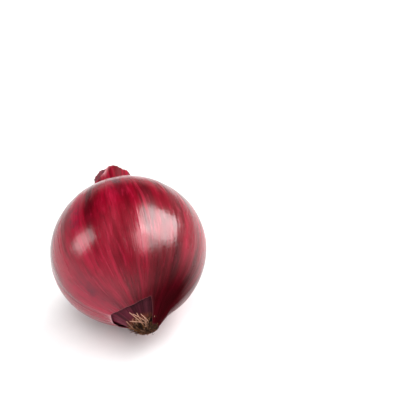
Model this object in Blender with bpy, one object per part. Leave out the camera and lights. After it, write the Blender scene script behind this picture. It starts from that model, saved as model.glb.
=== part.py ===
"""A red onion as picked, lying on a table: the bulb, its torn papery outer skin, the dry leaf ends in
its neck, and the root plate with its dry roots.

Metres, +Z up. The origin is on the table, under the middle of the bulb. The onion's own axis runs from
the roots, low at -Y, to the neck, higher at +Y. Every piece is modelled in the onion's own frame, in
which +Z runs from the roots to the neck and the equator is at z = 0, and is placed by one empty.
"""

import random
from math import cos, pi, radians, sin, sqrt

import bmesh
import bpy
from mathutils import Matrix, Vector

# Driving dimensions of the bulb. Heights are measured from its equator, along its axis.
BULB_RADIUS = 0.0374
CROWN_HEIGHT = 0.0358  # to the top of the round body
BASE_HEIGHT = 0.0356  # to the bottom of the round body, if it were not drawn out to the roots
NECK_RADIUS = 0.0072
NECK_END = 0.0384
STEM_END = 0.0408  # where the bulb's flesh ends, and the root plate begins
TIP_END = 0.0434  # the blunt end of the drawn-out base
TIP_RADIUS = 0.0036
CONE_SLOPE = 1.06  # how fast the base widens from its blunt end, radius for height
CONE_SPREAD = 0.0165  # by how much it widens in all
SHOULDER_POWER = 2.5  # rounds the body into its neck; a higher power is sharper
BASE_BLEND = 0.0052  # rounds it into the drawn-out base
NECK_OVAL = 0.07  # how far the dry neck is flattened, as a share of its radius
NECK_FLARE = 0.0017  # how far the neck's mouth opens outwards

# The papery outer skin, a sleeve round the whole bulb.
SKIN_THICKNESS = 0.0004
SKIN_MOUTH = 0.0455  # height of its ragged rim at the neck
MOUTH_DROP = 0.0036  # how much lower that rim is where it is torn, on the -X side
MOUTH_SLOPE = 0.0016  # how much lower it is on the +X side
SKIN_FOOT = -0.0424  # height of its lower edge, where it is whole
TEAR_FROM, TEAR_TO = radians(-262), radians(-66)  # the stretch where the lower edge is torn away
TEAR_FROM_RAMP, TEAR_TO_RAMP = radians(37), radians(14)
TEAR_MIDDLE, TEAR_HALF = radians(-123), radians(43)  # of the front of the tear, which is bowed
TEAR_HEIGHT = -0.0344  # of the torn edge, in the middle of its front
TEAR_BOW = 0.0013  # how much higher it is at the ends of its front
TEAR_REST = -0.0337  # its height past that, underneath

# The dry leaf ends that stand rolled in the neck, from the outermost in.
LEAF_THICKNESS = 0.0005
LEAF_GAP = 0.0006
LEAVES = (  # name, middle of its sweep, sweep, height of its top
    ("neck_leaf_outer", radians(185), radians(200), 0.0452),
    ("neck_leaf_middle", radians(30), radians(230), 0.0446),
    ("neck_leaf_inner", radians(-110), radians(210), 0.0438),
)
TIP_TOP = 0.0430

# The root plate and its roots.
PLATE_DOME = 0.5  # how far round its edge falls away, from 0, square, to 1, a point
ROOT_DIAMETER = 0.0009
INNER_ROOTS, OUTER_ROOTS = 4, 9
INNER_RING, OUTER_RING = 0.0012, 0.0030  # where the roots leave the plate

# How the onion lies.
AXIS_RISE = radians(22)  # of its axis, over the table
FLAT_SINK = 0.0007  # how far its resting side is pressed flat
CLEARANCE = 0.0003  # between pieces that touch

# Mesh resolution.
COLUMNS = 44
BULB_ROWS, LEAF_ROWS, PLATE_ROWS, EDGE_ROWS = 36, 4, 4, 6
SKIN_SHARED_LOW, SKIN_SHARED_HIGH = -0.0322, 0.0380  # where its rows run level with the bulb's
BEND_WEIGHT = 0.010  # metres of profile that one radian of bend counts for, in spacing the rows
PROFILE_STEPS = 400
ROOT_POINTS = 7

FINISHES = {  # colour, roughness
    "skin": ((0.30, 0.018, 0.045), 0.38),
    "bulb": ((0.13, 0.030, 0.055), 0.45),
    "dry_leaf": ((0.22, 0.012, 0.030), 0.60),
    "plate": ((0.30, 0.17, 0.08), 0.90),
    "root": ((0.55, 0.36, 0.22), 0.85),
}

TILT = Matrix.Rotation(AXIS_RISE - pi / 2, 4, "X")


def smoothstep(low, high, value):
    share = min(1.0, max(0.0, (value - low) / (high - low)))
    return share * share * (3 - 2 * share)


# ---- The shape of the bulb, which every other piece follows ----


def body_radius(z):
    """Radius at height z: a globe, rounded into the neck above and into a blunt cone below."""
    globe = sqrt(max(0.0, 1 - (z / (CROWN_HEIGHT if z > 0 else BASE_HEIGHT)) ** 2))
    if z > 0:
        neck = NECK_RADIUS**SHOULDER_POWER
        round_share = (BULB_RADIUS**SHOULDER_POWER - neck) * globe**SHOULDER_POWER
        return (round_share + neck) ** (1 / SHOULDER_POWER)
    widening = CONE_SLOPE * max(0.0, z + TIP_END)
    cone = TIP_RADIUS + widening / (1 + (widening / CONE_SPREAD) ** 6) ** (1 / 6)
    meeting = max(0.0, 1 - abs(BULB_RADIUS * globe - cone) / BASE_BLEND)
    return max(BULB_RADIUS * globe, cone) + meeting**2 * BASE_BLEND / 4


def shape_radius(angle, z):
    """body_radius with the onion's unevenness: two soft lobes, and an oval, flared neck."""
    globe_share = max(0.0, 1 - (z / (CROWN_HEIGHT if z > 0 else BASE_HEIGHT)) ** 2)
    lobes = 0.009 * cos(2 * angle + 0.7) + 0.006 * cos(3 * angle - 1.1)
    neck_share = smoothstep(0.8 * CROWN_HEIGHT, SKIN_MOUTH, z)
    oval = NECK_OVAL * neck_share * cos(2 * angle)
    return body_radius(z) * (1 + globe_share * lobes + oval) + NECK_FLARE * neck_share**2


def ring_point(angle, z, inset=0.0):
    """A point at height z, moved straight in towards the axis by inset."""
    radius = shape_radius(angle, z) - inset
    return Vector((radius * cos(angle), radius * sin(angle), z))


def surface_point(angle, z, lift=0.0):
    """A point of the bulb's surface, moved out square to that surface by lift."""
    here = ring_point(angle, z)
    if not lift:
        return here
    along = ring_point(angle, z + 1e-5) - ring_point(angle, z - 1e-5)
    around = ring_point(angle + 1e-3, z) - ring_point(angle - 1e-3, z)
    return here + lift * around.cross(along).normalized()


def angles(count, middle=0.0, sweep=2 * pi):
    """Angles round the axis: a closed ring of count, or count that fill a sweep from end to end."""
    if sweep >= 2 * pi:
        return [sweep * k / count for k in range(count)]
    return [middle + sweep * (k / (count - 1) - 0.5) for k in range(count)]


def bulb_levels():
    """Heights of the bulb's rows: an even distance apart along its profile, closer where it bends."""
    fine = [-STEM_END + (NECK_END + STEM_END) * i / PROFILE_STEPS for i in range(PROFILE_STEPS + 1)]
    profile = [Vector((body_radius(z), z)) for z in fine]
    travelled = [0.0]
    for i in range(PROFILE_STEPS):
        step = profile[i + 1] - profile[i]
        turn = step.angle(profile[i] - profile[i - 1]) if i else 0.0
        travelled.append(travelled[-1] + step.length + BEND_WEIGHT * turn)
    levels, i = [], 0
    for k in range(BULB_ROWS):
        target = travelled[-1] * k / (BULB_ROWS - 1)
        while i < PROFILE_STEPS - 1 and travelled[i + 1] < target:
            i += 1
        share = (target - travelled[i]) / (travelled[i + 1] - travelled[i])
        levels.append(fine[i] + share * (fine[i + 1] - fine[i]))
    return levels


def skin_levels(angle):
    """Heights of the skin's rows at one angle: the bulb's own, then a few to each of its edges."""
    shared = [z for z in bulb_levels() if SKIN_SHARED_LOW < z < SKIN_SHARED_HIGH]
    foot, mouth = skin_foot(angle), skin_mouth(angle)
    below = [foot + (shared[0] - foot) * k / EDGE_ROWS for k in range(EDGE_ROWS)]
    above = [shared[-1] + (mouth - shared[-1]) * (k + 1) / EDGE_ROWS for k in range(EDGE_ROWS)]
    return below + shared + above


def skin_foot(angle):
    """Height of the skin's lower edge, which is torn away over one stretch."""
    angle = TEAR_FROM + (angle - TEAR_FROM) % (2 * pi)
    torn = smoothstep(TEAR_FROM, TEAR_FROM + TEAR_FROM_RAMP, angle)
    torn *= 1 - smoothstep(TEAR_TO - TEAR_TO_RAMP, TEAR_TO, angle)
    across = (angle - TEAR_MIDDLE) / TEAR_HALF
    front = TEAR_HEIGHT + TEAR_BOW * min(1.0, across**2)
    torn_height = front + (TEAR_REST - front) * smoothstep(1.0, 1.6, -across)
    ragged = 0.00004 * sin(7 * angle) + 0.00004 * sin(11 * angle + 1)
    return SKIN_FOOT + torn * (torn_height - SKIN_FOOT) + ragged


def skin_mouth(angle):
    """Height of the skin's rim at the neck: ragged, and torn lower on the -X side."""
    ragged = 0.0004 * sin(3 * angle + 0.5) + 0.0003 * sin(8 * angle)
    torn = MOUTH_DROP * smoothstep(0.15, 0.55, -cos(angle))
    return SKIN_MOUTH - torn - MOUTH_SLOPE * smoothstep(0.0, 1.0, cos(angle)) + ragged


def rest_height():
    """Height of the equator's middle over the table, with the skin's lowest side pressed flat."""
    lift = CLEARANCE + SKIN_THICKNESS
    ring = angles(4 * COLUMNS)
    lowest = min((TILT @ surface_point(angle, z, lift)).z for angle in ring for z in bulb_levels())
    return -lowest - FLAT_SINK


def pressed(point, placing, height):
    """The point, or if it lies under that height over the table, the one straight above it."""
    world = placing @ point
    world.z = max(world.z, height)
    return placing.inverted() @ world


# ---- Meshes ----


def add_quads(bm, first, second, wrap):
    """Joins two rows of vertices with faces; wrap also joins their ends."""
    for k in range(len(first) if wrap else len(first) - 1):
        after = (k + 1) % len(first)
        bm.faces.new((first[k], first[after], second[after], second[k]))


def finish_mesh(name, bm, finish):
    """Turns a closed bmesh into a smooth-shaded object with its finish."""
    bmesh.ops.recalc_face_normals(bm, faces=bm.faces)
    mesh = bpy.data.meshes.new(name)
    bm.to_mesh(mesh)
    bm.free()
    mesh.shade_smooth()
    mesh.set_sharp_from_angle(angle=radians(40))
    return add_object(name, mesh, finish)


def capped_body(name, rows, finish):
    """A solid from rings of points, closed by a point in the middle of each end."""
    bm = bmesh.new()
    rings = [[bm.verts.new(point) for point in row] for row in rows]
    for lower, upper in zip(rings, rings[1:]):
        add_quads(bm, lower, upper, wrap=True)
    for end in (rings[0], rings[-1]):
        middle = bm.verts.new(sum((v.co for v in end), Vector()) / len(end))
        for k, vert in enumerate(end):
            bm.faces.new((vert, end[(k + 1) % len(end)], middle))
    return finish_mesh(name, bm, finish)


def sheet_body(name, outside, inside, wrap, finish):
    """A solid between two grids of points, closed all round its edge."""
    bm = bmesh.new()
    out, back = ([[bm.verts.new(point) for point in row] for row in grid] for grid in (outside, inside))
    for grid in (out, back):
        for lower, upper in zip(grid, grid[1:]):
            add_quads(bm, lower, upper, wrap)
    for row in (0, -1):
        add_quads(bm, out[row], back[row], wrap)
    if not wrap:
        for side in (0, -1):
            add_quads(bm, [row[side] for row in out], [row[side] for row in back], wrap=False)
    return finish_mesh(name, bm, finish)


def material(finish):
    """The Principled material of a finish, made once."""
    made = bpy.data.materials.get(finish)
    if made is None:
        colour, roughness = FINISHES[finish]
        made = bpy.data.materials.new(finish)
        made.use_nodes = True
        shader = made.node_tree.nodes["Principled BSDF"]
        shader.inputs["Base Color"].default_value = (*colour, 1)
        shader.inputs["Roughness"].default_value = roughness
        shader.inputs["Metallic"].default_value = 0
    return made


def add_object(name, data, finish):
    """Links an object, lying in the onion's frame."""
    made = bpy.data.objects.new(name, data)
    data.materials.append(material(finish))
    bpy.context.scene.collection.objects.link(made)
    made.parent = bpy.data.objects["onion_axis"]
    return made


# ---- The pieces ----


def make_bulb(placing):
    """The bulb, with its neck and stem base, in its own inner skin."""
    floor = CLEARANCE + SKIN_THICKNESS
    ring = angles(COLUMNS)
    rows = [[pressed(surface_point(angle, z), placing, floor) for angle in ring] for z in bulb_levels()]
    capped_body("bulb", rows, "bulb")


def make_outer_skin(placing):
    """The papery outer skin: torn away near the roots, and open and ragged at the neck."""
    ring = angles(COLUMNS)
    columns = [skin_levels(angle) for angle in ring]

    def grid(lift, floor):
        rows = []
        for levels in zip(*columns):
            points = [surface_point(angle, z, lift) for angle, z in zip(ring, levels)]
            rows.append([pressed(point, placing, floor) for point in points])
        return rows

    outside = grid(CLEARANCE + SKIN_THICKNESS, 0.0)
    inside = grid(CLEARANCE, SKIN_THICKNESS)
    sheet_body("outer_skin", outside, inside, wrap=True, finish="skin")


def make_neck_leaves():
    """The dry leaf ends, each a curled sheet inside the one before, round a shrivelled tip."""
    foot = NECK_END + CLEARANCE
    inset = LEAF_GAP
    for name, middle, sweep, height in LEAVES:
        turn = angles(round(COLUMNS * sweep / (2 * pi)), middle, sweep)

        def grid(depth):
            rows = []
            for row in range(LEAF_ROWS):
                share = row / (LEAF_ROWS - 1)
                tops = [height + 0.0005 * sin(5 * angle) for angle in turn]
                rows.append(
                    [ring_point(angle, foot + (top - foot) * share, depth) for angle, top in zip(turn, tops)]
                )
            return rows

        sheet_body(name, grid(inset), grid(inset + LEAF_THICKNESS), wrap=False, finish="dry_leaf")
        inset += LEAF_THICKNESS + LEAF_GAP
    levels = [foot + (TIP_TOP - foot) * row / (LEAF_ROWS - 1) for row in range(LEAF_ROWS)]
    ring = angles(COLUMNS // 3)
    rows = [[ring_point(angle, z, inset) for angle in ring] for z in levels]
    capped_body("neck_tip", rows, "dry_leaf")


def make_root_plate():
    """The corky plate: the blunt end of the bulb's base."""
    ring = angles(COLUMNS // 2)
    top = STEM_END + CLEARANCE
    rows = []
    for row in range(PLATE_ROWS):
        share = row / (PLATE_ROWS - 1)
        depth = top + (TIP_END - top) * share
        radius = (body_radius(-depth) - CLEARANCE) * sqrt(1 - (PLATE_DOME * share) ** 2)
        rows.append([Vector((radius * cos(angle), radius * sin(angle), -depth)) for angle in ring])
    capped_body("root_plate", rows, "plate")


def make_root(name, ring_radius, bearing, pitch, length, curl):
    """A dry root. It leaves the plate at bearing round the axis, pitched out from the plate's face,
    and curls back towards the bulb by curl radians along its length."""
    curve = bpy.data.curves.new(name, "CURVE")
    curve.dimensions = "3D"
    curve.bevel_depth = ROOT_DIAMETER / 2
    curve.bevel_resolution = 1
    curve.use_fill_caps = True
    spline = curve.splines.new("POLY")
    spline.points.add(ROOT_POINTS - 1)
    step = length / (ROOT_POINTS - 1)
    radius, depth = ring_radius, TIP_END + CLEARANCE + ROOT_DIAMETER / 2
    for i, point in enumerate(spline.points):
        share = i / (ROOT_POINTS - 1)
        point.co = (radius * cos(bearing), radius * sin(bearing), -depth, 1)
        point.radius = 1 - 0.5 * share
        heading = pitch - curl * smoothstep(0.0, 0.6, share)
        radius += step * cos(heading)
        depth += step * sin(heading)
        bearing -= 0.05 * share
    add_object(name, curve, "root")


def make_roots():
    """Two rings of roots: the inner ones stand out, and the outer ones spread. At the front of the
    tear they are longest, and curl back along the base."""
    chance = random.Random(4)
    for number in range(1, INNER_ROOTS + OUTER_ROOTS + 1):
        inner = number <= INNER_ROOTS
        count = INNER_ROOTS if inner else OUTER_ROOTS
        bearing = 2 * pi * (number + 0.2 * chance.uniform(-1, 1)) / count
        torn_side = abs((bearing - TEAR_MIDDLE + pi) % (2 * pi) - pi) < TEAR_HALF
        if inner:
            ring_radius, pitch, length, curl = INNER_RING, chance.uniform(0.75, 0.95), 0.0026, 0.9
        elif torn_side:
            ring_radius, pitch, length, curl = OUTER_RING, chance.uniform(0.10, 0.20), 0.0095, 1.12
        else:
            ring_radius, pitch, length, curl = OUTER_RING, chance.uniform(0.05, 0.20), 0.0034, 0.6
        length *= chance.uniform(0.9, 1.1)
        make_root(f"root_{number:02d}", ring_radius, bearing, pitch, length, curl)


def clear_scene():
    for old in list(bpy.data.objects):
        bpy.data.objects.remove(old)


def main():
    clear_scene()
    axis = bpy.data.objects.new("onion_axis", None)
    bpy.context.scene.collection.objects.link(axis)
    axis.location.z = rest_height()
    axis.rotation_euler.x = AXIS_RISE - pi / 2
    placing = Matrix.Translation(axis.location) @ TILT
    make_bulb(placing)
    make_outer_skin(placing)
    make_neck_leaves()
    make_root_plate()
    make_roots()


main()
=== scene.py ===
"""The look of a red onion that lies on a table: its torn papery skin, the darker skin under it, the dry
leaf ends in its neck, and its root plate with dry roots, in soft studio light.

Every piece is made in the onion's own frame, in which +Z runs from the roots to the neck and the equator
is at z = 0, and is then laid down as the CAD model lies. The shape functions repeat the CAD model's.
"""

import random
from math import pi, radians

import bpy
import numpy as np
from mathutils import Matrix, Vector


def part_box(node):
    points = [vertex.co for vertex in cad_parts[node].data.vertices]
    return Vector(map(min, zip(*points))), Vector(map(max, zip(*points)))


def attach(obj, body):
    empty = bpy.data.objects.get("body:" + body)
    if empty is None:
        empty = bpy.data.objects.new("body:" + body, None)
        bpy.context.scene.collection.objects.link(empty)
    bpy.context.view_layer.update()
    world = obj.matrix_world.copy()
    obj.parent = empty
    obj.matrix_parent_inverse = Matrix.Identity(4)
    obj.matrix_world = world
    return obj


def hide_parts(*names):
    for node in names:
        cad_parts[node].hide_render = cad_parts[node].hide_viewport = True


# The bulb's shape, as in the CAD model. Heights are measured from its equator, along its axis.
BULB_RADIUS = 0.0374
CROWN_HEIGHT = 0.0358
BASE_HEIGHT = 0.0356
NECK_RADIUS = 0.0072
NECK_END = 0.0384
STEM_END = 0.0408
TIP_END = 0.0434
TIP_RADIUS = 0.0036
CONE_SLOPE = 1.06
CONE_SPREAD = 0.0165
SHOULDER_POWER = 2.5
BASE_BLEND = 0.0052
NECK_OVAL = 0.07
NECK_FLARE = 0.0017
SKIN_LIFT = 0.0007  # of the outer skin's surface over the bulb's
SKIN_MOUTH = 0.0455
MOUTH_DROP = 0.0036
MOUTH_SLOPE = 0.0016
SKIN_FOOT = -0.0424
TEAR_FROM, TEAR_TO = radians(-262), radians(-66)
TEAR_FROM_RAMP, TEAR_TO_RAMP = radians(37), radians(14)
TEAR_MIDDLE, TEAR_HALF = radians(-123), radians(43)
TEAR_HEIGHT = -0.0344
TEAR_BOW = 0.0013
TEAR_REST = -0.0337
LEAVES = (  # node, middle of its sweep, sweep, height of its top, depth inside the sleeve
    ("neck_leaf_outer", radians(185), radians(200), 0.0452, 0.0006),
    ("neck_leaf_middle", radians(30), radians(230), 0.0446, 0.0017),
    ("neck_leaf_inner", radians(-110), radians(210), 0.0438, 0.0028),
)
TIP_TOP, TIP_DEPTH = 0.0430, 0.0039
PLATE_DOME = 0.5
INNER_ROOTS, OUTER_ROOTS = 4, 9
INNER_RING, OUTER_RING = 0.0012, 0.0030
INNER_LENGTH, TORN_LENGTH, OUTER_LENGTH = 0.0026, 0.0095, 0.0034  # of the roots; long on the torn side
CLEARANCE = 0.0003
AXIS_RISE = radians(22)
TILT = Matrix.Rotation(AXIS_RISE - pi / 2, 4, "X").to_3x3()

# Detail that the CAD model leaves out.
PAPER = 0.00018  # thickness of a dry skin's torn edge
FOLD_FROM, FOLD_TO = 0.0030, 0.0004  # how far in from its edges the outer skin's inside is drawn
FOOT_CURL, LIP_CURL, MOUTH_CURL = 0.00032, 0.0002, 0.0006  # how far those edges stand out
MOUTH_CREASE, CREASE_WIDTH = radians(-112), 0.25  # where the neck's torn rim drops, and curls out
RIB_HEIGHT = 0.00010  # of the ribs along the bulb
WRINKLE_HEIGHT = 0.00007  # of the wrinkles round the neck
DENT_DEPTH = 0.00012  # of the broad unevenness
# Painted shadow: the skin is darkened towards the roots on the +X side, round this bearing.
PAINTED_SHADOW_MIDDLE, PAINTED_SHADOW_WIDTH = radians(-38), radians(58)
# Painted light: the skin is paler towards the roots on the -X side, round this bearing.
PAINTED_LIGHT_MIDDLE, PAINTED_LIGHT_WIDTH = radians(-170), radians(52)
COLUMNS, ROWS, FOLD_ROWS = 480, 250, 5
INNER_COLUMNS, INNER_ROWS = 300, 180
ROOT_POINTS = 18
LONGEST_ROOT = 0.0105  # a root this long has the palest tip
FIBRES, MATTED = 150, 200  # in the root tuft: over the plate, and up the bulb's base
FIBRE_LENGTHS, MATTED_LENGTHS = (0.0016, 0.0036), (0.0014, 0.0036)
FIBRE_RADII = (0.00007, 0.00016)
STRAND_RADIUS, LONG_STRAND_RADIUS = 0.00028, 0.00022
MATTED_FROM = 0.0398  # distance from the equator at which the matted fibres begin
CORKY_FROM, CORKY_TO = 0.0380, 0.0400  # distances at which the bulb's base turns corky
STRAND_FOOT = 0.0015  # height over the plate's end at which a long strand springs
LONG_STRANDS = (  # roots that lie along the flank: bearing of the foot and the tip, and the climb
    (radians(-115), radians(-130), 0.0055),
    (radians(-95), radians(-125), 0.0045),
    (radians(-100), radians(-150), 0.0030),
    (radians(-85), radians(-105), 0.0035),
)
SMUDGES = (  # dull dark patches: bearing, height, and half their width
    (radians(-135), 0.008, 0.005),
    (radians(-150), -0.024, 0.003),
    (radians(-95), 0.020, 0.004),
)

# The camera stands where the photograph was taken from.
CAMERA_PLACE = (-0.0603, -0.3607, 0.3274)
CAMERA_DOWN = radians(35.5)
CAMERA_TURN = radians(15)
LENS_MM, SENSOR_MM = 85, 36

FLOOR_SIZE = 6
LAMPS = (  # name, direction from the onion, distance, width, height, watts, and whether it gleams
    ("lid", (-0.1, -0.3, 1.0), 0.90, 1.30, 1.30, 16.0, False),
    ("side_fill", (0.8, 0.5, 0.5), 0.80, 0.60, 0.60, 8.0, False),
    ("front_fill", (-0.6, -0.7, 0.3), 0.90, 1.20, 0.50, 3.0, False),
    ("window_right", (0.67, -0.16, 0.72), 0.60, 0.46, 0.54, 14.5, True),
    ("window_front", (0.38, -0.60, 0.70), 0.60, 0.34, 0.36, 3.8, True),
    ("window_left", (-0.91, 0.02, 0.41), 0.60, 0.22, 0.30, 2.2, True),
)


# ---- Small helpers ----


def smoothstep(low, high, value):
    share = np.clip((value - low) / (high - low), 0, 1)
    return share * share * (3 - 2 * share)


def bump(distance, width):
    """1 where the distance is 0, falling smoothly to about a third at width to either side."""
    return np.exp(-((distance / width) ** 2))


def wrapped(angle):
    """The angle between -pi and pi."""
    return (angle + pi) % (2 * pi) - pi


def srgb(code):
    """Linear colour, with alpha, from an sRGB hex code."""
    parts = [int(code[i : i + 2], 16) / 255 for i in (0, 2, 4)]
    return (*(p / 12.92 if p <= 0.04045 else ((p + 0.055) / 1.055) ** 2.4 for p in parts), 1)


# ---- The shape of the bulb ----


def body_radius(z):
    globe = np.sqrt(np.maximum(0, 1 - (z / np.where(z > 0, CROWN_HEIGHT, BASE_HEIGHT)) ** 2))
    neck = NECK_RADIUS**SHOULDER_POWER
    round_share = (BULB_RADIUS**SHOULDER_POWER - neck) * globe**SHOULDER_POWER
    upper = (round_share + neck) ** (1 / SHOULDER_POWER)
    widening = CONE_SLOPE * np.maximum(0, z + TIP_END)
    cone = TIP_RADIUS + widening / (1 + (widening / CONE_SPREAD) ** 6) ** (1 / 6)
    meeting = np.maximum(0, 1 - np.abs(BULB_RADIUS * globe - cone) / BASE_BLEND)
    lower = np.maximum(BULB_RADIUS * globe, cone) + meeting**2 * BASE_BLEND / 4
    return np.where(z > 0, upper, lower)


def shape_radius(angle, z):
    globe_share = np.maximum(0, 1 - (z / np.where(z > 0, CROWN_HEIGHT, BASE_HEIGHT)) ** 2)
    lobes = 0.009 * np.cos(2 * angle + 0.7) + 0.006 * np.cos(3 * angle - 1.1)
    neck_share = smoothstep(0.8 * CROWN_HEIGHT, SKIN_MOUTH, z)
    oval = NECK_OVAL * neck_share * np.cos(2 * angle)
    return body_radius(z) * (1 + globe_share * lobes + oval) + NECK_FLARE * neck_share**2


def ring_points(angle, z, inset=0.0):
    """Points at heights z, moved straight in towards the axis by inset."""
    radius = shape_radius(angle, z) - inset
    return np.stack([radius * np.cos(angle), radius * np.sin(angle), z + 0 * angle], axis=-1)


def surface_points(angle, z, lift):
    """Points of the bulb's surface, moved out square to that surface by lift."""
    along = ring_points(angle, z + 1e-5) - ring_points(angle, z - 1e-5)
    around = ring_points(angle + 1e-3, z) - ring_points(angle - 1e-3, z)
    normal = np.cross(around, along)
    normal /= np.linalg.norm(normal, axis=-1, keepdims=True)
    return ring_points(angle, z) + normal * np.asarray(lift)[..., None]


def skin_foot(angle):
    """Height of the outer skin's lower edge, which is torn away over one stretch."""
    angle = TEAR_FROM + (angle - TEAR_FROM) % (2 * pi)
    torn = smoothstep(TEAR_FROM, TEAR_FROM + TEAR_FROM_RAMP, angle)
    torn = torn * (1 - smoothstep(TEAR_TO - TEAR_TO_RAMP, TEAR_TO, angle))
    across = (angle - TEAR_MIDDLE) / TEAR_HALF
    front = TEAR_HEIGHT + TEAR_BOW * np.minimum(1, across**2)
    torn_height = front + (TEAR_REST - front) * smoothstep(1.0, 1.6, -across)
    ragged = 0.00004 * np.sin(7 * angle) + 0.00004 * np.sin(11 * angle + 1)
    frayed = 0.00002 * np.sin(47 * angle) + 0.00001 * np.sin(83 * angle + 2)
    return SKIN_FOOT + torn * (torn_height - SKIN_FOOT) + ragged + frayed


def skin_mouth(angle):
    """Height of the outer skin's rim at the neck: ragged, and torn lower on the -X side."""
    torn = MOUTH_DROP * smoothstep(0.15, 0.55, -np.cos(angle))
    ragged = 0.0004 * np.sin(3 * angle + 0.5) + 0.0003 * np.sin(8 * angle)
    frayed = 0.00012 * np.sin(29 * angle) + 0.00010 * np.sin(53 * angle + 1)
    return SKIN_MOUTH - torn - MOUTH_SLOPE * smoothstep(0.0, 1.0, np.cos(angle)) + ragged + frayed


# Distance travelled along the profile from under the root plate to over the neck, and back to a height.
PROFILE_Z = np.linspace(-0.0435, 0.0475, 3000)
PROFILE_S = np.concatenate([[0], np.cumsum(np.hypot(np.diff(PROFILE_Z), np.diff(body_radius(PROFILE_Z))))])


def travel(z):
    return np.interp(z, PROFILE_Z, PROFILE_S)


def height_at(distance):
    return np.interp(distance, PROFILE_S, PROFILE_Z)


def relief(angle, z):
    """The skin's own unevenness: broad dents, ribs from pole to pole, and wrinkles round the neck."""
    place = travel(z) / PROFILE_S[-1]
    dents = np.sin(2 * angle + 9 * place) * np.sin(7 * place + 1) + 0.7 * np.sin(5 * angle - 6 * place)
    ribs = np.zeros_like(z + angle)
    for count, height, start, drift in ((13, 1.0, 0.3, 0.8), (22, 0.6, 1.9, -1.1), (37, 0.3, 4.0, 1.7)):
        ribs = ribs + height * np.cos(count * angle + start + drift * np.sin(5 * place + count))
    towards_neck = smoothstep(0.022, 0.038, z)
    towards_roots = smoothstep(0.020, 0.034, -z)
    wrinkles = np.zeros_like(ribs)
    for count, height, start in ((5, 1.0, 0.0), (12, 0.6, 2.2), (23, 0.3, 5.1)):
        wrinkles = wrinkles + height * np.cos(count * angle + start + 1.2 * np.sin(120 * z + count))
    return (
        DENT_DEPTH * (1 - towards_neck) * (1 - towards_roots) * dents
        + RIB_HEIGHT * (0.35 + 0.5 * towards_roots) * (1 - towards_neck) * ribs
        + WRINKLE_HEIGHT * towards_neck * wrinkles
    )


def root_stain(angle, z):
    """How far painted shadow darkens the skin: towards the roots, on the +X side."""
    width = PAINTED_SHADOW_WIDTH * (1 + 0.7 * smoothstep(0.029, 0.036, -z))
    return 0.95 * smoothstep(0.012, 0.033, -z) * bump(wrapped(angle - PAINTED_SHADOW_MIDDLE), width)


def dust_share(angle, z):
    """How far painted light makes the skin paler: towards the roots, on the -X side."""
    return 0.6 * smoothstep(-0.005, 0.028, -z) * bump(wrapped(angle - PAINTED_LIGHT_MIDDLE), PAINTED_LIGHT_WIDTH)


def smudge_share(angle, z):
    """How much of a smudge there is at a place on the skin."""
    share = 0 * (z + angle)
    for middle, height, half in SMUDGES:
        sideways = body_radius(z) * wrapped(angle - middle)
        share = np.maximum(share, bump(np.hypot(sideways, 0.6 * (z - height)), half))
    return share


# ---- Meshes ----


def rest_height():
    """Height of the equator's middle over the table, from where the CAD model's skin is widest."""
    low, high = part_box("outer_skin")
    angle, z = np.meshgrid(np.linspace(0, 2 * pi, 361), np.linspace(-0.03, 0.03, 241))
    laid = surface_points(angle, z, np.full(angle.shape, SKIN_LIFT)) @ np.array(TILT).T
    return high.z - laid[..., 2].max()


def laid_down(points, floor=None):
    """The points as the onion lies, and none under the floor's height."""
    placed = points @ np.array(TILT).T + np.array([0, 0, REST_HEIGHT])
    if floor is not None:
        placed[..., 2] = np.maximum(placed[..., 2], floor)
    return placed


def make_piece(name, points, faces, nodes, slot, material, floor=None, **attributes):
    """A smooth-shaded piece from points in the onion's frame, laid down. It replaces its CAD nodes."""
    mesh = bpy.data.meshes.new(name)
    mesh.from_pydata(laid_down(points, floor).tolist(), [], faces.tolist())
    for key, values in attributes.items():
        kind = "FLOAT_VECTOR" if values.ndim == 2 else "FLOAT"
        field = "vector" if values.ndim == 2 else "value"
        mesh.attributes.new(key, kind, "POINT").data.foreach_set(field, values.astype(np.float32).ravel())
    mesh.validate()
    mesh.shade_smooth()
    mesh.materials.append(material)
    piece = bpy.data.objects.new(name, mesh)
    bpy.context.scene.collection.objects.link(piece)
    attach(piece, "root")
    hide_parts(*nodes)


def grid_faces(rows, columns, wrap):
    """Quads over a grid of rows by columns of points; wrap joins the last column to the first."""
    across = columns if wrap else columns - 1
    row, column = np.meshgrid(np.arange(rows - 1), np.arange(across), indexing="ij")
    after = (column + 1) % columns
    this_row, next_row = row * columns, (row + 1) * columns
    corners = [this_row + column, this_row + after, next_row + after, next_row + column]
    return np.stack(corners, axis=-1).reshape(-1, 4)


def grain(angle, z):
    """Seamless coordinates for the streaks: once round the axis, and along from pole to pole."""
    place = travel(z) / PROFILE_S[-1]
    return np.stack([np.cos(angle), np.sin(angle), place + 0 * angle], axis=-1).reshape(-1, 3)


# ---- Materials ----


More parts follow.
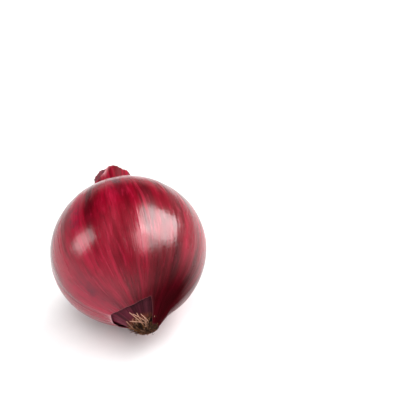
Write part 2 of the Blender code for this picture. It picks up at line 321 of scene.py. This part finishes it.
class Shader:
    """A material's node tree, with short calls for the nodes that the onion's materials use."""

    def __init__(self, name):
        self.material = bpy.data.materials.new(name)
        self.material.use_nodes = True
        self.tree = self.material.node_tree
        self.surface = self.tree.nodes["Principled BSDF"]

    def node(self, kind, **properties):
        made = self.tree.nodes.new(kind)
        for key, value in properties.items():
            setattr(made, key, value)
        return made

    def link(self, value, socket):
        """Sets a socket to a number or colour, or joins it to another node's output."""
        if isinstance(value, bpy.types.NodeSocket):
            self.tree.links.new(value, socket)
        else:
            socket.default_value = value

    def attribute(self, name, output="Fac"):
        return self.node("ShaderNodeAttribute", attribute_name=name).outputs[output]

    def streaks(self, around, along, detail=2.0, roughness=0.5, shift=0.0):
        """Noise drawn out from pole to pole: around and along set how many streaks there are."""
        scaled = self.node("ShaderNodeVectorMath", operation="MULTIPLY_ADD")
        self.link(self.attribute("grain", "Vector"), scaled.inputs[0])
        scaled.inputs[1].default_value = (around, around, along)
        scaled.inputs[2].default_value = (shift, shift, shift)
        return self.noise(scaled.outputs["Vector"], 1.0, detail, roughness)

    def noise(self, vector, scale, detail=2.0, roughness=0.5):
        made = self.node("ShaderNodeTexNoise")
        self.link(vector, made.inputs["Vector"])
        made.inputs["Scale"].default_value = scale
        made.inputs["Detail"].default_value = detail
        made.inputs["Roughness"].default_value = roughness
        return made.outputs["Fac"]

    def place(self):
        return self.node("ShaderNodeTexCoord").outputs["Object"]

    def ramp(self, value, *stops):
        """A colour ramp; each stop is a position and a colour."""
        made = self.node("ShaderNodeValToRGB")
        elements = made.color_ramp.elements
        while len(elements) < len(stops):
            elements.new(0.5)
        for element, (position, colour) in zip(elements, stops):
            element.position = position
            element.color = colour
        self.link(value, made.inputs["Fac"])
        return made.outputs["Color"]

    def span(self, value, low, high, to_low=0.0, to_high=1.0):
        """The value's stretch from low to high, mapped smoothly to another."""
        made = self.node("ShaderNodeMapRange", interpolation_type="SMOOTHSTEP")
        for socket, number in zip(made.inputs, (value, low, high, to_low, to_high)):
            self.link(number, socket)
        return made.outputs["Result"]

    def mix(self, share, first, second):
        made = self.node("ShaderNodeMix", data_type="RGBA")
        self.link(share, made.inputs["Factor"])
        self.link(first, made.inputs["A"])
        self.link(second, made.inputs["B"])
        return made.outputs["Result"]

    def maths(self, operation, *values):
        made = self.node("ShaderNodeMath", operation=operation)
        for value, socket in zip(values, made.inputs):
            self.link(value, socket)
        return made.outputs["Value"]

    def bumps(self, *layers):
        """The surface's relief: each layer is a height and its depth in metres."""
        normal = None
        for height, depth in layers:
            made = self.node("ShaderNodeBump")
            made.inputs["Distance"].default_value = depth
            made.inputs["Strength"].default_value = 1.0
            self.link(height, made.inputs["Height"])
            if normal is not None:
                self.link(normal, made.inputs["Normal"])
            normal = made.outputs["Normal"]
        self.link(normal, self.surface.inputs["Normal"])

    def finish(self, colour, roughness, **fixed):
        """Joins the colour and roughness, and sets the other sockets that are the same all over."""
        self.link(colour, self.surface.inputs["Base Color"])
        self.link(roughness, self.surface.inputs["Roughness"])
        for key, value in fixed.items():
            self.surface.inputs[key.replace("_", " ")].default_value = value
        return self.material


def outer_skin_material():
    """Crimson paper, streaked from pole to pole, with a few dark smudges and paler torn edges."""
    shader = Shader("outer_skin")
    bands = shader.streaks(4.6, 2.4, detail=1.5)
    colour = shader.ramp(
        bands,
        (0.36, srgb("4e020e")),
        (0.45, srgb("660213")),
        (0.52, srgb("7a031b")),
        (0.60, srgb("8c0523")),
        (0.68, srgb("980a2e")),
    )
    streaks = shader.streaks(9, 3.0, detail=2.0, shift=7.0)
    colour = shader.mix(shader.span(streaks, 0.54, 0.74, 0.0, 0.7), colour, srgb("980e2c"))
    colour = shader.mix(shader.span(streaks, 0.46, 0.32, 0.0, 0.3), colour, srgb("4e030e"))
    veins = shader.streaks(46, 3.0, detail=2.0, shift=3.0)
    # Painted light: paler pink towards the roots on the -X side, for light and reflection from the floor.
    colour = shader.mix(shader.attribute("dust"), colour, srgb("8c1c36"))
    colour = shader.mix(shader.span(veins, 0.56, 0.68, 0.0, 0.3), colour, srgb("46060f"))
    flecks = shader.streaks(24, 13, detail=4.0, roughness=0.6, shift=11.0)
    colour = shader.mix(shader.span(flecks, 0.53, 0.66, 0.0, 0.45), colour, srgb("4a0510"))
    colour = shader.mix(shader.span(flecks, 0.46, 0.34, 0.0, 0.35), colour, srgb("a81a3a"))
    blush = shader.noise(shader.place(), 55, detail=2.0)
    colour = shader.mix(shader.span(blush, 0.50, 0.70, 0.0, 0.35), colour, srgb("90122c"))
    clouds = shader.noise(shader.place(), 260, detail=4.0, roughness=0.6)
    cloudy = shader.span(clouds, 0.35, 0.65, 0.15, 0.75)
    smudges = shader.maths("MULTIPLY", shader.attribute("smudge"), cloudy)
    colour = shader.mix(smudges, colour, srgb("4a1c2a"))
    # Painted shadow: the skin towards the roots on the +X side is darkened, and made rougher.
    stain = shader.attribute("stain")
    colour = shader.mix(stain, colour, srgb("280609"))
    colour = shader.mix(shader.attribute("edge"), colour, srgb("d09aa0"))
    roughness = shader.maths("MULTIPLY_ADD", stain, 0.2, shader.span(streaks, 0.3, 0.7, 0.18, 0.28))
    matt = shader.attribute("matt")
    shader.link(shader.span(matt, 0.0, 0.9, 0.30, 0.0), shader.surface.inputs["Specular IOR Level"])
    grit = shader.noise(shader.place(), 700, detail=3.0)
    shader.bumps((veins, 0.00008), (streaks, 0.00012), (flecks, 0.00006), (grit, 0.00005))
    return shader.finish(colour, roughness)


def inner_skin_material():
    """The darker skin under the torn one: purple-brown, with fine fibres, browner round the plate."""
    shader = Shader("inner_skin")
    bands = shader.streaks(5, 2.0, detail=2.0, shift=2.0)
    colour = shader.ramp(bands, (0.35, srgb("380c18")), (0.5, srgb("521828")), (0.65, srgb("6e2a3a")))
    fibres = shader.streaks(42, 3.0, detail=3.0)
    colour = shader.mix(shader.span(fibres, 0.54, 0.68, 0.0, 0.5), colour, srgb("7a3440"))
    colour = shader.mix(shader.span(fibres, 0.46, 0.36, 0.0, 0.6), colour, srgb("200509"))
    # Painted shadow, darker towards the roots on the +X side.
    colour = shader.mix(shader.attribute("stain"), colour, srgb("240a10"))
    cork = shader.mix(shader.span(fibres, 0.42, 0.58), srgb("34130c"), srgb("7c4030"))
    colour = shader.mix(shader.attribute("corky"), colour, cork)
    colour = shader.mix(shader.attribute("shade"), colour, srgb("120306"))
    shader.bumps((fibres, 0.00018))
    return shader.finish(colour, shader.span(bands, 0.3, 0.7, 0.45, 0.6), Specular_IOR_Level=0.05)


def dry_leaf_material():
    """The dry leaf ends: dark purple-red, paler along the torn rim."""
    shader = Shader("dry_leaf")
    bands = shader.streaks(5, 2.0, detail=2.0, shift=5.0)
    colour = shader.ramp(bands, (0.36, srgb("460a18")), (0.5, srgb("621424")), (0.64, srgb("761e30")))
    fibres = shader.streaks(32, 2.0, detail=3.0, shift=1.0)
    colour = shader.mix(shader.span(fibres, 0.54, 0.68, 0.0, 0.4), colour, srgb("8c3444"))
    colour = shader.mix(shader.attribute("edge"), colour, srgb("9c5c64"))
    shader.bumps((fibres, 0.00015))
    return shader.finish(colour, shader.span(bands, 0.3, 0.7, 0.45, 0.65), Specular_IOR_Level=0.4)


def root_plate_material():
    """Corky brown, nearly black in its pits."""
    shader = Shader("root_plate")
    crumbs = shader.noise(shader.place(), 900, detail=4.0, roughness=0.7)
    colour = shader.ramp(crumbs, (0.36, srgb("0c0503")), (0.5, srgb("1e100a")), (0.66, srgb("4a2e1c")))
    shader.bumps((crumbs, 0.00050))
    return shader.finish(colour, shader.span(crumbs, 0.3, 0.7, 0.8, 0.95), Specular_IOR_Level=0.1)


def root_material():
    """Dry fibre: dark brown at the plate, pale pinkish tan at the tip of a long root."""
    shader = Shader("root")
    speckle = shader.noise(shader.place(), 1500, detail=3.0)
    colour = shader.ramp(
        shader.attribute("pale"),
        (0.0, srgb("160a05")),
        (0.35, srgb("5e3a1c")),
        (1.0, srgb("e2ab93")),
    )
    colour = shader.mix(shader.span(speckle, 0.45, 0.7, 0.0, 0.35), colour, srgb("5a2e18"))
    shader.bumps((speckle, 0.00008))
    return shader.finish(colour, shader.span(speckle, 0.3, 0.7, 0.6, 0.8), Specular_IOR_Level=0.1)


def floor_material():
    """A plain pale board with the faintest tooth."""
    shader = Shader("floor")
    tooth = shader.noise(shader.place(), 60, detail=2.0)
    colour = shader.ramp(tooth, (0.3, srgb("f4f4f4")), (0.7, srgb("f8f8f8")))
    return shader.finish(colour, shader.span(tooth, 0.3, 0.7, 0.85, 0.9), Specular_IOR_Level=0.1)


# ---- The pieces ----


def make_outer_skin(material):
    """The outer skin: inside its mouth, over the rim, down the bulb, and round its torn lower edge."""
    angle = np.linspace(0, 2 * pi, COLUMNS, endpoint=False)
    foot, mouth = travel(skin_foot(angle)), travel(skin_mouth(angle))
    slope = np.gradient(foot, angle) / np.maximum(0.005, body_radius(skin_foot(angle)))
    share = np.linspace(0, 1, ROWS)[:, None]
    distance = foot + (mouth - foot) * share
    folded = np.linspace(FOLD_FROM, FOLD_TO, FOLD_ROWS)[:, None]
    distance = np.concatenate([foot + folded, distance, mouth - folded[::-1]])
    inside = np.zeros(len(distance))
    inside[:FOLD_ROWS] = inside[-FOLD_ROWS:] = PAPER
    from_foot = (distance - foot) / np.hypot(1, slope)
    from_mouth = mouth - distance
    z = height_at(distance)
    angles = angle + 0 * z
    across = (TEAR_MIDDLE - (TEAR_FROM + (angles - TEAR_FROM) % (2 * pi))) / TEAR_HALF
    lip = smoothstep(0.95, 1.2, across) * (1 - smoothstep(2.2, 2.7, across))
    crease = bump(wrapped(angles - MOUTH_CREASE), CREASE_WIDTH)
    near_foot = np.exp(-from_foot / (0.00025 + 0.0006 * lip))
    near_mouth = np.exp(-from_mouth / (0.00030 + 0.0006 * crease))
    lift = SKIN_LIFT + relief(angles, z) - inside[:, None]
    lift = lift + (FOOT_CURL + LIP_CURL * lip) * np.exp(-from_foot / 0.0009)
    lift = lift + MOUTH_CURL * crease * np.exp(-from_mouth / 0.0007)
    specks = 0.5 + 0.5 * np.sin(9 * angles) * np.sin(23 * angles)
    edge = np.maximum(near_foot * (0.08 + 0.90 * lip), near_mouth * (0.10 + 0.25 * specks + 0.9 * crease))
    # Painted shadow towards the roots on the +X side, which also dulls the gloss there.
    stain = root_stain(angles, z)
    matt = np.maximum(stain, 0.7 * smoothstep(0.032, 0.040, z))
    points = surface_points(angles, z, lift).reshape(-1, 3)
    faces = grid_faces(len(distance), COLUMNS, wrap=True)
    make_piece(
        "papery_skin",
        points,
        faces,
        ["outer_skin"],
        "outer_skin",
        material,
        floor=0.0,
        grain=grain(angles, z),
        edge=edge.ravel(),
        stain=stain.ravel(),
        matt=matt.ravel(),
        # Painted light, paler towards the roots on the -X side.
        dust=dust_share(angles, z).ravel(),
        smudge=smudge_share(angles, z).ravel(),
    )


def make_inner_skin(material):
    """The bulb's surface, which shows where the outer skin is torn. It is open at the neck and at the
    root plate, so there is nothing inside it."""
    angle = np.linspace(0, 2 * pi, INNER_COLUMNS, endpoint=False)
    distance = np.linspace(travel(-STEM_END), travel(NECK_END), INNER_ROWS)[:, None]
    z = height_at(distance) + 0 * angle
    angles = angle + 0 * z
    corky = 0.9 * smoothstep(CORKY_FROM, CORKY_TO, -z)
    tear_front = 1 - smoothstep(0.80, 1.0, np.abs(wrapped(angles - TEAR_MIDDLE)) / TEAR_HALF)
    shade = 0.9 * tear_front * np.exp(-np.maximum(0, skin_foot(angles) - z) / 0.0005)
    points = surface_points(angles, z, 0.6 * relief(angles, z) - 0.0001).reshape(-1, 3)
    make_piece(
        "inner_skin",
        points,
        grid_faces(INNER_ROWS, INNER_COLUMNS, wrap=True),
        ["bulb"],
        "inner_skin",
        material,
        floor=SKIN_LIFT,
        grain=grain(angles, z),
        corky=corky.ravel(),
        shade=shade.ravel(),
        # Painted shadow towards the roots on the +X side.
        stain=root_stain(angles, z).ravel(),
    )


def make_neck_leaves(material):
    """The dry leaf ends: thin curled sheets with a frayed rim, each inside the one before."""
    foot = NECK_END + CLEARANCE
    for name, middle, sweep, height, depth in LEAVES:
        columns, rows = int(90 * sweep / pi), 40
        angle = middle + sweep * np.linspace(-0.5, 0.5, columns)
        frayed = 0.0002 * np.sin(31 * angle) + 0.00015 * np.sin(57 * angle)
        top = height + 0.0005 * np.sin(5 * angle) + frayed
        share = np.concatenate([np.linspace(0, 1, rows), [0.97, 0.9, 0.8]])[:, None]
        thickness = np.concatenate([np.zeros(rows), np.full(3, PAPER)])[:, None]
        z = foot + (top - foot) * share
        angles = angle + 0 * z
        wrinkle = 0.00020 * np.cos(13 * angles + 40 * share) + 0.00012 * np.cos(29 * angles)
        points = ring_points(angles, z, depth + thickness + wrinkle).reshape(-1, 3)
        edge = 0.8 * np.exp(-(top - z) / 0.0004)
        make_piece(
            name + "_paper",
            points,
            grid_faces(len(share), columns, wrap=False),
            [name],
            "dry_leaf",
            material,
            grain=grain(angles, z),
            edge=edge.ravel(),
        )


def make_neck_tip(material):
    """The shrivelled tip in the middle of the neck: a pleated plug with a sunken, creased end."""
    columns, rows = 90, 24
    angle = np.linspace(0, 2 * pi, columns, endpoint=False)
    share = np.linspace(0, 1, rows)[:, None]
    rise = np.minimum(1, share / 0.6)
    inward = smoothstep(0.55, 1.0, share)
    foot = NECK_END + CLEARANCE
    z = foot + (TIP_TOP - foot) * rise - 0.0012 * inward
    angles = angle + 0 * z
    pleats = 0.00025 * np.cos(11 * angles + 3 * share) + 0.00015 * np.cos(19 * angles + 1)
    points = ring_points(angles, z + 0 * angles, TIP_DEPTH + 0.0002 + pleats)
    points[..., :2] *= (1 - 0.97 * inward)[..., None]
    points[..., 2] += 0.0004 * inward * np.cos(4 * angles)
    make_piece(
        "shrivelled_tip",
        points.reshape(-1, 3),
        grid_faces(rows, columns, wrap=True),
        ["neck_tip"],
        "dry_leaf",
        material,
        grain=grain(angles, z + 0 * angles),
        edge=0.3 * inward.repeat(columns, axis=1).ravel(),
    )


def make_root_plate(material):
    """The corky plate: the blunt, lumpy end of the bulb's base."""
    columns, rows = 96, 30
    angle = np.linspace(0, 2 * pi, columns, endpoint=False)
    share = np.linspace(0, 1, rows)[:, None]
    down, inward = smoothstep(0, 0.75, share), smoothstep(0.55, 1.0, share)
    top = STEM_END + CLEARANCE
    depth = top + (TIP_END - top) * down
    ring = (body_radius(-depth) - CLEARANCE) * np.sqrt(1 - (PLATE_DOME * down) ** 2) * (1 - inward)
    lumps = 0.00025 * np.cos(7 * angle + 9 * share) + 0.00018 * np.cos(13 * angle - 14 * share)
    ring = np.maximum(0, ring + lumps * (share < 0.9))
    depth = depth + lumps * down
    points = np.stack([ring * np.cos(angle), ring * np.sin(angle), -depth], axis=-1).reshape(-1, 3)
    faces = grid_faces(rows, columns, wrap=True)
    make_piece("corky_plate", points, faces, ["root_plate"], "root_plate", material)


def tube(path, radii, sides=6):
    """Points and faces of a tube along a path, open at both ends."""
    tangent = np.gradient(path, axis=0)
    tangent /= np.linalg.norm(tangent, axis=1, keepdims=True)
    helper = np.array([0.3, 0.5, 0.81])
    side = np.cross(tangent, helper)
    side /= np.linalg.norm(side, axis=1, keepdims=True)
    other = np.cross(tangent, side)
    turn = np.linspace(0, 2 * pi, sides, endpoint=False)
    ring = np.cos(turn)[None, :, None] * side[:, None] + np.sin(turn)[None, :, None] * other[:, None]
    points = path[:, None] + ring * np.asarray(radii)[:, None, None]
    return points.reshape(-1, 3), grid_faces(len(path), sides, wrap=True)


def root_path(ring, depth, bearing, pitch, length, curl, chance, wave):
    """A root's path. It leaves the plate at bearing, pitched out from its face, curls back towards the
    bulb by curl radians, and wanders by wave."""
    share = np.linspace(0, 1, ROOT_POINTS)
    swing = bearing - 0.15 * share**2 + wave * np.sin(chance.uniform(3, 6) * share)
    heading = pitch - curl * smoothstep(0.0, 0.6, share) + wave * np.sin(chance.uniform(3, 6) * share)
    step = length / (ROOT_POINTS - 1)
    moves = np.stack([np.cos(heading) * np.cos(swing), np.cos(heading) * np.sin(swing), -np.sin(heading)])
    moves = step * moves.T
    moves[0] = 0
    start = [ring * np.cos(bearing), ring * np.sin(bearing), -depth]
    return np.array(start) + np.cumsum(moves, axis=0)


def laid_path(from_angle, to_angle, climb):
    """A long root's path: it springs from the plate's edge and lies along the flank."""
    share = np.linspace(0, 1, ROOT_POINTS)
    angle = from_angle + (to_angle - from_angle) * share + 0.02 * np.sin(5 * share)
    z = STRAND_FOOT - TIP_END + climb * share
    return surface_points(angle, z, 0.0006 + 0.0006 * np.sin(pi * share))


def joined(parts):
    """One set of points, faces and paleness from many tubes. Each part is a tube's points and faces, and
    how pale it is at its foot and at its tip."""
    points, faces, pale, count = [], [], [], 0
    for (tube_points, tube_faces), foot_pale, tip_pale in parts:
        points.append(tube_points)
        faces.append(tube_faces + count)
        pale.append(np.linspace(foot_pale, tip_pale, len(tube_points)))
        count += len(tube_points)
    return np.concatenate(points), np.concatenate(faces), np.concatenate(pale)


def cad_roots():
    """Ring, bearing, pitch, length and curl of each root of the CAD model, drawn as it draws them."""
    chance = random.Random(4)
    for number in range(1, INNER_ROOTS + OUTER_ROOTS + 1):
        inner = number <= INNER_ROOTS
        count = INNER_ROOTS if inner else OUTER_ROOTS
        bearing = 2 * pi * (number + 0.2 * chance.uniform(-1, 1)) / count
        torn_side = abs(wrapped(bearing - TEAR_MIDDLE)) < TEAR_HALF
        if inner:
            ring, pitch, length, curl = INNER_RING, chance.uniform(0.75, 0.95), INNER_LENGTH, 0.9
        elif torn_side:
            ring, pitch, length, curl = OUTER_RING, chance.uniform(0.10, 0.20), TORN_LENGTH, 1.12
        else:
            ring, pitch, length, curl = OUTER_RING, chance.uniform(0.05, 0.20), OUTER_LENGTH, 0.6
        yield ring, bearing, pitch, length * chance.uniform(0.9, 1.1), curl


def make_roots(material):
    """Each CAD root as a pair of thin wandering strands."""
    chance = np.random.default_rng(11)
    for number, (ring, bearing, pitch, length, curl) in enumerate(cad_roots(), start=1):
        strands = []
        for turn, share in ((0.0, 1.0), (0.25, 0.7)):
            path = root_path(ring, TIP_END, bearing + turn, pitch, share * length, curl, chance, 0.12)
            thin = tube(path, STRAND_RADIUS * share * np.linspace(1, 0.5, ROOT_POINTS))
            strands.append((thin, 0.1, length / LONGEST_ROOT))
        points, faces, pale = joined(strands)
        replaced = [f"root_{number:02d}"]
        make_piece(f"dry_root_{number:02d}", points, faces, replaced, "root", material, pale=pale)


def make_root_tuft(material):
    """A low tangle of broken fibres over the plate, more matted up the base where the skin is torn, and
    a few long strands along the flank."""
    chance = np.random.default_rng(5)
    fibres = []
    for number in range(FIBRES + MATTED):
        if number < FIBRES:
            depth, bearing = TIP_END, chance.uniform(0, 2 * pi)
            ring = TIP_RADIUS * np.sqrt(chance.uniform(0, 1))
            pitch, curl, length = chance.uniform(-0.1, 0.8), 1.6, chance.uniform(*FIBRE_LENGTHS)
        else:
            depth = chance.uniform(MATTED_FROM, TIP_END)
            bearing = TEAR_MIDDLE + TEAR_HALF * chance.uniform(-2.2, 1.2)
            ring = body_radius(-depth)
            pitch, curl = chance.uniform(-0.6, 0.3), chance.uniform(0.5, 1.5)
            length = chance.uniform(*MATTED_LENGTHS)
        path = root_path(ring, depth, bearing + chance.uniform(-0.9, 0.9), pitch, length, curl, chance, 0.9)
        thin = tube(path, chance.uniform(*FIBRE_RADII) * np.linspace(1, 0.5, ROOT_POINTS), sides=5)
        paleness = chance.uniform(0, 1) ** 3
        fibres.append((thin, 0.6 * paleness, paleness))
    for strand in LONG_STRANDS:
        thin = tube(laid_path(*strand), LONG_STRAND_RADIUS * np.linspace(1, 0.6, ROOT_POINTS))
        fibres.append((thin, 0.6, 1.0))
    points, faces, pale = joined(fibres)
    make_piece("root_tuft", points, faces, [], "root", material, pale=pale)


# ---- The studio ----


def make_floor():
    bpy.ops.mesh.primitive_plane_add(size=FLOOR_SIZE)
    floor = bpy.context.object
    floor.name = "floor"
    floor.data.materials.append(floor_material())


def area_light(name, direction, distance, width, height, strength, gleam):
    """A soft box in a direction from the onion, turned to face it. It either gleams or lights."""
    light = bpy.data.lights.new(name, "AREA")
    light.shape = "RECTANGLE"
    light.size, light.size_y = width, height
    light.energy = strength
    lamp = bpy.data.objects.new(name, light)
    bpy.context.scene.collection.objects.link(lamp)
    direction = Vector(direction).normalized()
    lamp.location = Vector((0, 0, REST_HEIGHT)) + distance * direction
    lamp.rotation_euler = direction.to_track_quat("Z", "Y").to_euler()
    lamp.visible_glossy = gleam
    lamp.visible_diffuse = not gleam


def make_light():
    """A large soft lid and two fills that light, three windows that gleam, and a room that is bright low
    down and dark above."""
    for lamp in LAMPS:
        area_light(*lamp)
    world = bpy.data.worlds.new("room")
    world.use_nodes = True
    bpy.context.scene.world = world
    tree = world.node_tree
    direction = tree.nodes.new("ShaderNodeTexCoord").outputs["Generated"]
    split = tree.nodes.new("ShaderNodeSeparateXYZ")
    tree.links.new(direction, split.inputs["Vector"])
    ramp = tree.nodes.new("ShaderNodeValToRGB")
    low, high = ramp.color_ramp.elements
    low.position, low.color = 0.10, (0.7, 0.7, 0.7, 1)
    high.position, high.color = 0.34, (0.015, 0.015, 0.015, 1)
    tree.links.new(split.outputs["Z"], ramp.inputs["Fac"])
    tree.links.new(ramp.outputs["Color"], tree.nodes["Background"].inputs["Color"])


def make_camera():
    camera = bpy.data.cameras.new("camera")
    camera.lens = LENS_MM
    camera.sensor_width = SENSOR_MM
    camera.clip_start = 0.01
    holder = bpy.data.objects.new("camera", camera)
    bpy.context.scene.collection.objects.link(holder)
    holder.location = CAMERA_PLACE
    holder.rotation_euler = (pi / 2 - CAMERA_DOWN, 0, -CAMERA_TURN)
    bpy.context.scene.camera = holder


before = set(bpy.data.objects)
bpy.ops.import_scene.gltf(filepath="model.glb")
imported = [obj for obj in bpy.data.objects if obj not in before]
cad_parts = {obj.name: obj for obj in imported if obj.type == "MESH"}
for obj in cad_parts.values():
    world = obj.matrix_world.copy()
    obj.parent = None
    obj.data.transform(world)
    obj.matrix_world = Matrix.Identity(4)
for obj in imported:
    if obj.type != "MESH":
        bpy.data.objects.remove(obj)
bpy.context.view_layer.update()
REST_HEIGHT = rest_height()
make_outer_skin(outer_skin_material())
make_inner_skin(inner_skin_material())
leaf = dry_leaf_material()
make_neck_leaves(leaf)
make_neck_tip(leaf)
make_root_plate(root_plate_material())
root = root_material()
make_roots(root)
make_root_tuft(root)
make_floor()
make_light()
make_camera()
bpy.context.scene.view_settings.view_transform = "Standard"
